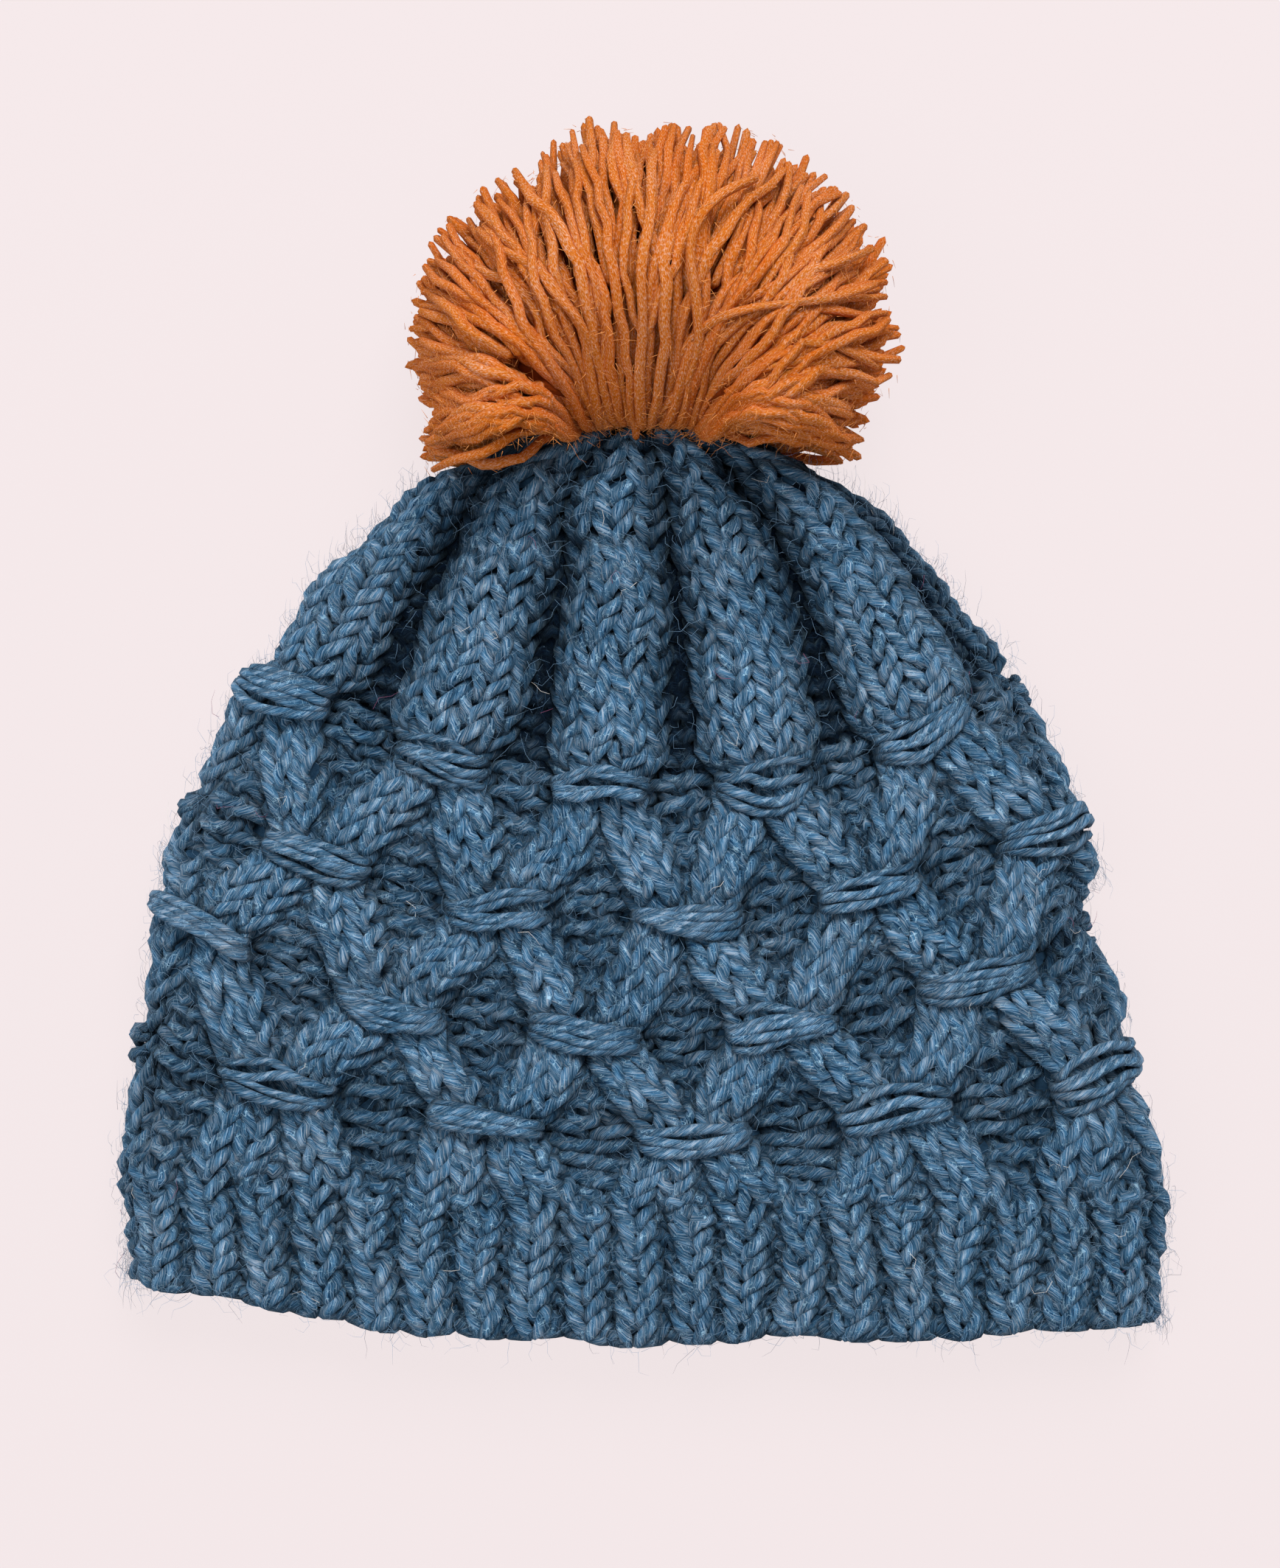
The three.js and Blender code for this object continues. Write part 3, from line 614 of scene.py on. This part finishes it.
# Felted fibre and painted shade between the loops.
# A thin web of matted fibre in the middle of the cloth closes the small holes between the loops. It is
# coloured dark as painted shade, the shade that lies in those holes.

felt_and_shade, tree = new_material("matted blue fibre and painted shade")
place = add_node(tree, "ShaderNodeTexCoord").outputs["Object"]
# Clumps of fibre about 1 mm across, with painted shade that darkens them in the valleys of the cloth.
clumps = add_node(tree, "ShaderNodeTexNoise", {"Vector": place, "Scale": 1 / MM, "Detail": 3.0})
clump_shade = add_node(tree, "ShaderNodeValToRGB", {"Fac": clumps.outputs[0]})
# Dark blues: painted shade in the holes between the loops, mottled by the clumps.
clump_shade.color_ramp.elements[0].color = linear("#0e2841")
clump_shade.color_ramp.elements[1].color = linear("#34556f")
# Painted shade: darker where the cloth sinks into its valleys.
sunk = add_node(tree, "ShaderNodeAttribute", attribute_name="shade_height")
sunk_shade = add_node(tree, "ShaderNodeMapRange", {
    "Value": sunk.outputs["Fac"], "From Min": -6.0, "From Max": 2.0, "To Min": 0.05, "To Max": 1.0})
felt_colour = add_node(tree, "ShaderNodeVectorMath", {
    0: clump_shade.outputs[0], "Scale": sunk_shade.outputs[0]}, operation="SCALE")
clump_bump = add_node(tree, "ShaderNodeBump", {
    "Height": clumps.outputs[0], "Strength": 0.8, "Distance": 0.5 * MM})
finish_material(tree, add_node(tree, "ShaderNodeBsdfPrincipled", {
    "Base Color": felt_colour.outputs[0], "Normal": clump_bump.outputs[0], "Roughness": 1.0,
    "Specular IOR Level": 0.1}))


def shell_piece(name, rings, tips, shade_height, material):
    """A closed piece from rings of points, each joined to the next, and a fan from each end ring to its
    tip."""
    count, around = rings.shape[:2]
    i, j = np.meshgrid(np.arange(count - 1), np.arange(around), indexing="ij")
    at = lambda ring, corner: ring * around + corner % around
    quads = np.stack([at(i, j), at(i, j + 1), at(i + 1, j + 1), at(i + 1, j)], -1).reshape(-1, 4)
    j, first = np.arange(around), np.full(around, count * around)
    triangles = np.concatenate([np.stack([at(0, j + 1), at(0, j), first], -1),
                                np.stack([at(count - 1, j), at(count - 1, j + 1), first + 1], -1)])
    return mesh_piece(name, np.concatenate([rings.reshape(-1, 3), tips]), shade_height, quads, triangles,
                      np.zeros((len(quads), 4, 2)), np.zeros((len(triangles), 3, 2)), material)


FELT_STEPS = 12               # to a repeat
FELT_BOTTOM, FELT_TOP = -0.65, -0.15


def felt_ring(row, above):
    """A closed ring of the cloth at a height above its middle."""
    turn = np.arange(REPEATS * FELT_STEPS) / FELT_STEPS
    line, _ = lay_cloth(turn, np.full(turn.shape, row), above)
    line[:, 2] = np.maximum(line[:, 2], 0.3)
    return line


felt_rows = np.concatenate([np.arange(0.1, 43, 0.8), [43.2, 43.7]])
felt_rings = np.stack([felt_ring(row, FELT_BOTTOM) for row in felt_rows[::-1]]
                      + [felt_ring(row, FELT_TOP) for row in felt_rows])
felt_tips = np.array([(-1.5, 65.8, 14.6), (-1.5, 67.6, 15.6)])
felt_place = np.mod(np.arange(felt_rings.shape[1]) / FELT_STEPS, 1) * REPEAT_STITCHES
felt_shade_height = relief(felt_place, np.concatenate([felt_rows[::-1], felt_rows])[:, None]).ravel()
felt_and_shade_web = shell_piece("felted_fibre_and_painted_shade", felt_rings, felt_tips, np.append(felt_shade_height, [0, 0]), felt_and_shade)
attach(felt_and_shade_web, "root")

# Wraps.
# On four rows the same yarn is wound four to six times round two ribs and pulled tight. The turns lie beside
# each other, draw together towards their ends, and dive into the cloth there.

WRAP_REACH = 0.262            # half its length, in repeats
WRAP_ARCH, WRAP_FOOT = 1.9, 0.2
WRAP_ABOVE = 2.2              # mm of its foot over the plain layer
WRAP_UNDER = -0.85            # mm of a wrap's turns against the table
WRAP_RADIUS = 1.14
WRAP_SPREAD = 0.70            # half the width of its turns, in rows
WRAP_DIVE = 2.6               # mm that its ends go down into the cloth
WRAP_POINTS = 20
winder = np.random.default_rng(29)


def wrap_piece(name, turn, row, node):
    """The turns of one wrap as open yarn. Each goes across the ribs with a height of the fourth-power arch,
    and its place along the hat is its own slot in the stack, plus a slope and a sag of its own."""
    count = winder.integers(4, 7)
    e = np.linspace(-1, 1, WRAP_POINTS)[None] * winder.uniform(0.97, 1.07, (count, 1))
    e_in = np.clip(e, -1, 1)
    slot = np.linspace(-WRAP_SPREAD, WRAP_SPREAD, count)[:, None] + winder.normal(0, 0.09, (count, 1))
    lean = winder.normal(0, 0.15, (count, 1)) + winder.normal(0, 0.12)
    sag = (winder.normal(0, 0.13, (count, 1)) + winder.normal(0, 0.16)
           + winder.normal(0, 0.07, (count, 1)) * np.sin(4 * e + winder.uniform(0, 6, (count, 1))))
    gather = winder.uniform(0.35, 0.6)
    at_row = row + slot * (1 - gather * e_in**2) + lean * e_in + sag * (1 - e_in**2)
    arch = mix(WRAP_FOOT, WRAP_ARCH, np.sqrt(1 - e_in**4))
    arch = arch - WRAP_DIVE * np.maximum(np.abs(e) - 0.95, 0) / 0.1
    bulge = 0.7 * (1 - slot**2 * 1.3) + winder.normal(0, 0.25, (count, 1))
    line, outward = lay(turn + e * WRAP_REACH, at_row,
                        lambda under: WRAP_ABOVE + mix(arch + bulge - 0.6, WRAP_UNDER, under))
    radius = WRAP_RADIUS * (1 + winder.normal(0, 0.1, (count, 1)) + 0.08 * np.sin(5 * e + 3 * slot))
    line[..., 2] = np.maximum(line[..., 2], 0.75)
    # Painted shade: each turn is lighter as it bulges and darker towards its ends, where it dives into the
    # cloth.
    points, *rest = yarn(line, outward, 1.2 + bulge - 1.6 * e_in**8, radius, YARN_SIDES, closed=False)
    points[:, 2] = np.maximum(points[:, 2], 0.02)
    piece = mesh_piece(name, points, *rest, wrap_wool)
    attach(piece, "root")
    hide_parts(node)


# The wraps' copy of the blue wool has darker middle and light tones: painted shade that tones the raised
# turns down to the cloth round them.
wrap_wool = wool("blue woollen-spun yarn, wound, painted darker", "#10314f", "#406c8c", "#98c0da", seed=8.0, low_shade_height=-1.1,
                 high_shade_height=3.4)
for letter, (row, shift) in WRAP_ROWS.items():
    for repeat in range(REPEATS):
        node = f"wrap_{letter}{repeat + 1}"
        wrap_piece(f"{node}_turns", repeat + shift, row, node)

# Pompom.
# Several hundred cut lengths of orange wool tied together at the tip of the crown. They spring up from the
# tie and fall open into a fan, and their cut ends are frayed.

TIE = np.array([-1.3, 67.5, 17.0])
# How far the fan reaches, in mm by degrees round the tie, and how its tiers from the table to the top end,
# which share of that they reach, and how high they spring over the tie.
REACH_ANGLES = [-100, -85, -68, -47, -21, -9, 2, 18, 43, 67, 84, 100]
REACHES = [48, 46, 52.5, 59, 61, 66.5, 63, 67.5, 67, 62, 50, 46]
TIER_LIFTS = [0, 0.28, 0.56, 0.82, 1]
TIER_TIP_Z = [3, 14, 24, 32, 37]
TIER_SHARES = [0.95, 1.0, 0.98, 0.94, 0.86]
TIER_SPRINGS = [-12, 6, 30, 52, 62]
# Its painted shade deep in the bundle is a deep, pure orange.
orange_wool = wool("orange woollen-spun yarn", "#b4520a", "#c67021", "#d28a3a", seed=5.0, ply_mm=26.0,
                   ply_shade=1.0, hair=0.5, low_shade_height=-2.0, high_shade_height=1.5, painted_shade_tint=(0.95, 0.62, 0.4),
                   high_shade=0.94, haze=0.2, fibre_mm=0.8)
STRAND_RADIUS = 1.16
STRAND_SIDES = 6
STRAND_FRAY = 1.3             # length of the cut end's cone, in radii
FAN_MIDDLE = np.array([0, 92, 14.0])
tuft = np.random.default_rng(47)


def pompom_paths(angle, lift, start, points, swing=0.0, cut=1.0):
    """Paths of yarn from the tie: quadratic Bezier curves that leave it sideways in proportion to the sine
    of their angle, spring to a height that grows with lift, and fall to their ends, swing degrees further
    round. The upper ones first bend down over the tie, by t times the falling exponential of t."""
    share = np.interp(lift, TIER_LIFTS, TIER_SHARES) * cut
    turn, end_turn = np.radians(angle), np.radians(angle + swing)
    reach = np.interp(angle + swing, REACH_ANGLES, REACHES) * share
    outward = np.stack([np.sin(turn), np.cos(turn), np.zeros_like(turn)], -1)
    end_way = np.stack([np.sin(end_turn), np.cos(end_turn), np.zeros_like(turn)], -1)
    root = TIE + np.stack([13.0 * np.sin(turn), 0.5 * np.cos(turn), 7.0 * (lift - 0.5)], -1)
    tip = TIE + end_way * reach[:, None]
    tip[:, 2] = np.interp(lift, TIER_LIFTS, TIER_TIP_Z)
    spring = TIE + outward * reach[:, None] * 0.42 + np.stack([7.0 * np.sin(turn), 0 * turn, 0 * turn], -1)
    spring[:, 2] = TIE[2] + np.interp(lift, TIER_LIFTS, TIER_SPRINGS)
    t = mix(start[:, None], 1.0, np.linspace(0, 1, points)[None]**1.25)[..., None]
    dip = tuft.uniform(0.5, 1.35, len(angle)) * lift**2
    bend = (t / 0.09) * np.exp(1 - t / 0.09) * dip[:, None, None] * np.array([0, -3.5, 2.6])
    return (1 - t)**2 * root[:, None] + 2 * t * (1 - t) * spring[:, None] + t**2 * tip[:, None] + bend


def strands(line, curl, shade_height):
    """Yarn along the paths, with a sideways sine wave that grows towards its cut end and is much the same
    for the seven strands or so of one lock, and a finer wave. The cut end is frayed thin: the radius falls
    by a share of the twelfth power of the way along."""
    count, points = line.shape[:2]
    t = np.linspace(0, 1, points)[None]
    ahead = line[:, -1] - line[:, 0]
    side = np.stack([ahead[:, 1], -ahead[:, 0], 0 * ahead[:, 0]], -1)
    side /= np.linalg.norm(side, axis=-1, keepdims=True) + 1e-9
    lock = np.round(np.arange(count) / 7)[:, None]
    size = curl * (np.sin(lock * 2.4) + tuft.normal(0, 0.7, (count, 1)))
    beat, phase = tuft.uniform(0.6, 1.5, (count, 1)), lock * 1.7 + tuft.normal(0, 0.7, (count, 1))
    wave = size * (np.sin(2 * np.pi * beat * t + phase) - np.sin(phase)) * t**0.7
    wave += 0.22 * curl * np.sin(9 * np.pi * beat * t + 3 * phase) * t**0.5
    climb = tuft.normal(0, curl * 0.5, (count, 1)) * np.sin(np.pi * t) * t
    line = line + side[:, None] * wave[..., None]
    line[..., 2] = np.maximum(line[..., 2] + climb, 0.9)
    outward = line - FAN_MIDDLE
    outward /= np.linalg.norm(outward, axis=-1, keepdims=True)
    radius = STRAND_RADIUS * (1 + tuft.normal(0, 0.1, (count, 1))) * (1 + 0.08 * np.sin(9 * t + phase))
    radius = radius * (1 - 0.3 * t**12)
    # Painted shade: each strand takes its group's shade height plus a random share.
    height = shade_height + tuft.normal(0, 0.3, (count, 1)) + 0 * t
    return yarn(line, outward, height, radius, STRAND_SIDES, closed=False, tip=STRAND_FRAY)


HOLLOW_ANGLE, HOLLOW_HALF, HOLLOW_SHARE = -63, 8.5, 0.6


def hollow_lift(angle, lift):
    """The lift of strands that part round a hollow on the left: in it, a flat-topped dip of their angle
    brings the upper ones down towards the middle ones."""
    dip = np.exp(-((angle - HOLLOW_ANGLE) / HOLLOW_HALF)**4)
    return lift - HOLLOW_SHARE * np.maximum(0, lift - 0.5) * dip


def tuft_of_strands(count, low_lift, high_lift, start, points, curl, shade_height):
    """Strands all round the fan, bunched into locks by a sine of their angle, with random lifts, ends and
    lengths."""
    angle = -99 + 199 * (np.arange(count) + tuft.uniform(0, 1, count)) / count
    angle = np.clip(angle + 1.8 * np.sin(angle * 0.42), -99, 100)
    swing = np.clip(angle + tuft.normal(0, 7, count), -96, 96) - angle
    lift = tuft.uniform(low_lift, high_lift, count)
    if start < 0.2:
        lift = hollow_lift(angle, lift)
    return strands(pompom_paths(angle, lift, np.full(count, start), points, swing,
                                tuft.uniform(0.88, 1.03, count)), curl, shade_height)


# By their shade heights, the top strands, the cut ends and the drooping and loose strands are painted
# lighter than the sides and the underside.
top = tuft_of_strands(250, 0.70, 1.0, start=0.0, points=16, curl=2.5, shade_height=0.3)
sides = tuft_of_strands(190, 0.1, 0.75, start=0.0, points=14, curl=2.2, shade_height=0.0)
under = tuft_of_strands(80, 0.0, 0.08, start=0.0, points=10, curl=1.0, shade_height=0.0)
ends = tuft_of_strands(330, 0.0, 0.95, start=0.5, points=8, curl=1.6, shade_height=0.2)

# On each side some strands droop past the tie and lie on the crown's shoulder.
DROOP = 26                    # on each side
droop_angle = np.concatenate([tuft.uniform(-94, -80, DROOP), tuft.uniform(80, 97, DROOP)])
droop_turn = np.radians(droop_angle)[:, None]
droop_reach = tuft.uniform(38, 49, (2 * DROOP, 1))
t = np.linspace(0, 1, 12)[None]
run = 6 + (droop_reach - 6) * t
arc = np.sin(np.pi * t)
droop = np.stack([TIE[0] + run * np.sin(droop_turn), TIE[1] + run * np.cos(droop_turn) + 5 * arc,
                  mix(tuft.uniform(20, 27, (2 * DROOP, 1)), tuft.uniform(6, 16, (2 * DROOP, 1)), t**1.5)
                  + 6 * arc], -1)
drooping = strands(droop, curl=0.35, shade_height=0.2)

# The few loose strands that lie across the others, by the points that each passes through.
LOOSE_STRANDS = [
    [(2, 68, 32), (11, 83, 50), (9, 97, 56), (13, 108, 54), (23, 115, 46)],
    [(4, 70, 34), (13, 84, 51), (25, 87, 55), (36, 89, 51), (48, 94, 41)],
    [(2, 68, 27), (12, 68, 28), (25, 67, 24), (36, 64, 18), (43, 60, 12)],
    [(-2, 74, 40), (-2, 72, 37), (-2, 69, 33), (-2, 67, 29), (-2, 64, 25)],
    [(-10, 69, 30), (-22, 70, 40), (-31, 75, 43), (-37, 83, 42), (-42, 91, 35)],
    [(-8, 88, 36), (-17, 89, 43), (-25, 88, 45), (-32, 86, 42), (-38, 84, 35)],
    [(-8, 84, 35), (-17, 83, 42), (-25, 83, 44), (-31, 81, 42), (-37, 78, 35)],
    [(-5, 75, 33), (-14, 76, 40), (-22, 77, 42), (-29, 78, 41), (-35, 80, 36)],
    [(-38, 61, 12), (-44, 61, 13), (-46, 65, 12), (-43, 68, 12), (-40, 66, 12)],
    [(-36, 63, 11), (-40, 62, 11), (-43, 62, 10), (-46, 62, 9), (-49, 62, 8)],
]


def through(points, count):
    """A smooth line through five points: the polynomial of the fourth degree that meets them at even
    steps."""
    steps = np.linspace(0, 1, len(points))
    powers = np.linspace(0, 1, count)[:, None]**np.arange(len(points))
    return powers @ np.linalg.solve(steps[:, None]**np.arange(len(points)), np.array(points, float))


loose = strands(np.stack([through(points, 18) for points in LOOSE_STRANDS]), curl=0.3, shade_height=0.5)
strand_points, *rest = join_yarn([top, sides, under, ends, drooping, loose])
strand_points[:, 2] = np.maximum(strand_points[:, 2], 0.02)
pompom = mesh_piece("pompom_yarn", strand_points, *rest, orange_wool)
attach(pompom, "root")
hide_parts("pompom")

# The middle of the bundle, seen only as shade between the strands.
packed_in_shade, tree = new_material("packed orange yarn in painted shade")
place = add_node(tree, "ShaderNodeTexCoord").outputs["Object"]
# Strands pressed together, about 2 mm thick.
pressed = add_node(tree, "ShaderNodeTexNoise", {"Vector": place, "Scale": 1 / (2 * MM), "Detail": 2.0})
strand_shade = add_node(tree, "ShaderNodeValToRGB", {"Fac": pressed.outputs[0]})
# Dark browns: painted shade between the strands, in place of the yarn's orange.
strand_shade.color_ramp.elements[0].color = linear("#4e1802")
strand_shade.color_ramp.elements[1].color = linear("#7c3206")
strand_bump = add_node(tree, "ShaderNodeBump", {
    "Height": pressed.outputs[0], "Strength": 1.0, "Distance": MM})
finish_material(tree, add_node(tree, "ShaderNodeBsdfPrincipled", {
    "Base Color": strand_shade.outputs[0], "Normal": strand_bump.outputs[0], "Roughness": 1.0,
    "Specular IOR Level": 0.1}))
PACKED_SHRINK = 0.78
PACKED_CENTRE = np.array([-0.5, 90.0, 19.0])
PACKED_STEPS = 8
fan = np.linspace(-96, 97, 25)
at_tie = np.zeros_like(fan)
profile = np.concatenate([
    pompom_paths(fan, np.zeros_like(fan), at_tie, PACKED_STEPS),
    pompom_paths(fan, np.full_like(fan, 0.33), at_tie, PACKED_STEPS)[:, -1:],
    pompom_paths(fan, np.full_like(fan, 0.66), at_tie, PACKED_STEPS)[:, -1:],
    pompom_paths(fan, 1.7 * hollow_lift(fan, 1.0) - 0.7, at_tie, PACKED_STEPS)[:, ::-1]], 1)
profile = PACKED_CENTRE + (profile - PACKED_CENTRE) * PACKED_SHRINK
profile[..., 2] = np.maximum(profile[..., 2], 1.0)
middle_tips = np.stack([profile[0].mean(0), profile[-1].mean(0)])
middle = shell_piece("pompom_middle", profile, middle_tips, np.zeros(profile[..., 0].size + 2), packed_in_shade)
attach(middle, "root")

# Loose fibres.
# The wool sheds a halo of fine curled hairs that lie on the cloth and lift off it, most in its own colour
# and a few white or plum, as unevenly dyed fleece has.


def hair_material(name, colour):
    """A single wool fibre: half see-through in life, so it takes a soft sheen and no sharp shine."""
    material, tree = new_material(name)
    finish_material(tree, add_node(tree, "ShaderNodeBsdfPrincipled", {
        "Base Color": linear(colour), "Roughness": 0.7, "Specular IOR Level": 0.2,
        "Sheen Weight": 0.5, "Sheen Tint": linear(colour)}))
    return material


HAIR_SIDES = 3
shed = np.random.default_rng(83)


def hairs(start, outward, length, radius, lift, points=5):
    """Curled hairs from points on a surface: each sets off along it in a random direction, turns steadily
    aside, and rises as a sine of the share of its length, scaled by lift. It thins towards its end."""
    count = len(start)
    aim = shed.normal(0, 1, (count, 3))
    ahead = np.cross(outward, aim)
    ahead /= np.linalg.norm(ahead, axis=-1, keepdims=True)
    side = np.cross(outward, ahead)
    t = np.linspace(0, 1, points)[None]
    turn = shed.normal(0, 2.2, (count, 1)) * t + 0.6 * np.sin(5 * t + shed.uniform(0, 6, (count, 1)))
    step = length[:, None] / (points - 1)
    run = np.cumsum(np.cos(turn) * step, 1)[..., None] * ahead[:, None]
    run = run + np.cumsum(np.sin(turn) * step, 1)[..., None] * side[:, None]
    rise = (lift[:, None] * np.sin(np.pi * (0.12 + 0.7 * t)))[..., None] * outward[:, None]
    line = start[:, None] + run + rise
    line[..., 2] = np.maximum(line[..., 2], 0.1)
    thin = radius * np.sqrt(1.1 - t)
    return yarn(line, np.broadcast_to(outward[:, None], line.shape), 0 * t, thin, HAIR_SIDES, closed=False)


def loose_on_cloth(name, count, colour, radius, longest):
    """Hairs scattered over the knitting, with two fifths of them on the two folds, where they are a halo."""
    around = shed.uniform(-3.2, 3.2, count)
    fold = np.sign(around) * 2.5 + shed.normal(0, 0.16, count)
    turn = np.mod(FRONT_REPEAT + np.where(shed.uniform(0, 1, count) < 0.42, fold, around), REPEATS)
    row = np.where(shed.uniform(0, 1, count) < 0.08, shed.normal(0, 0.3, count), shed.uniform(0, 43, count))
    start, outward = lay_cloth(turn, row, shed.normal(2.2, 0.5, count))
    start[:, 2] = np.maximum(start[:, 2], 0.4)
    length, lift = shed.uniform(0.3, 1, count) * longest, shed.gamma(1.8, 0.55, count)
    piece = mesh_piece(name, *hairs(start, outward, length, radius, lift, points=4),
                       hair_material(name, colour))
    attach(piece, "root")


loose_on_cloth("loose_blue_fibres", 5000, "#7394b0", radius=0.034, longest=8)
loose_on_cloth("loose_dark_fibres", 1500, "#26405a", radius=0.035, longest=8)
loose_on_cloth("loose_white_fibres", 90, "#e6e4de", radius=0.045, longest=8)
loose_on_cloth("loose_plum_fibres", 40, "#7c4a66", radius=0.055, longest=9)

# The pompom's hairs grow from the outer sides of its strands: many short ones, which soften it, and a few
# long.
OUTER_NAP = 0.9
outer = np.flatnonzero(((strand_points - FAN_MIDDLE)[:, 2] > -8) & (rest[0] > OUTER_NAP))
orange_parts = []
for count, shortest, longest, thickness, points in ((10000, 1.0, 2.8, 0.08, 2), (900, 3.0, 9.0, 0.045, 5)):
    hair_start = strand_points[shed.choice(outer, count)]
    hair_out = hair_start - FAN_MIDDLE
    hair_out /= np.linalg.norm(hair_out, axis=-1, keepdims=True)
    orange_parts.append(hairs(hair_start - 0.2 * hair_out, hair_out, shed.uniform(shortest, longest, count),
                              thickness, shed.gamma(2.0, 0.45, count), points))
orange_hairs = mesh_piece("loose_orange_fibres", *join_yarn(orange_parts),
                          hair_material("loose_orange_fibres", "#dc9150"))
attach(orange_hairs, "root")
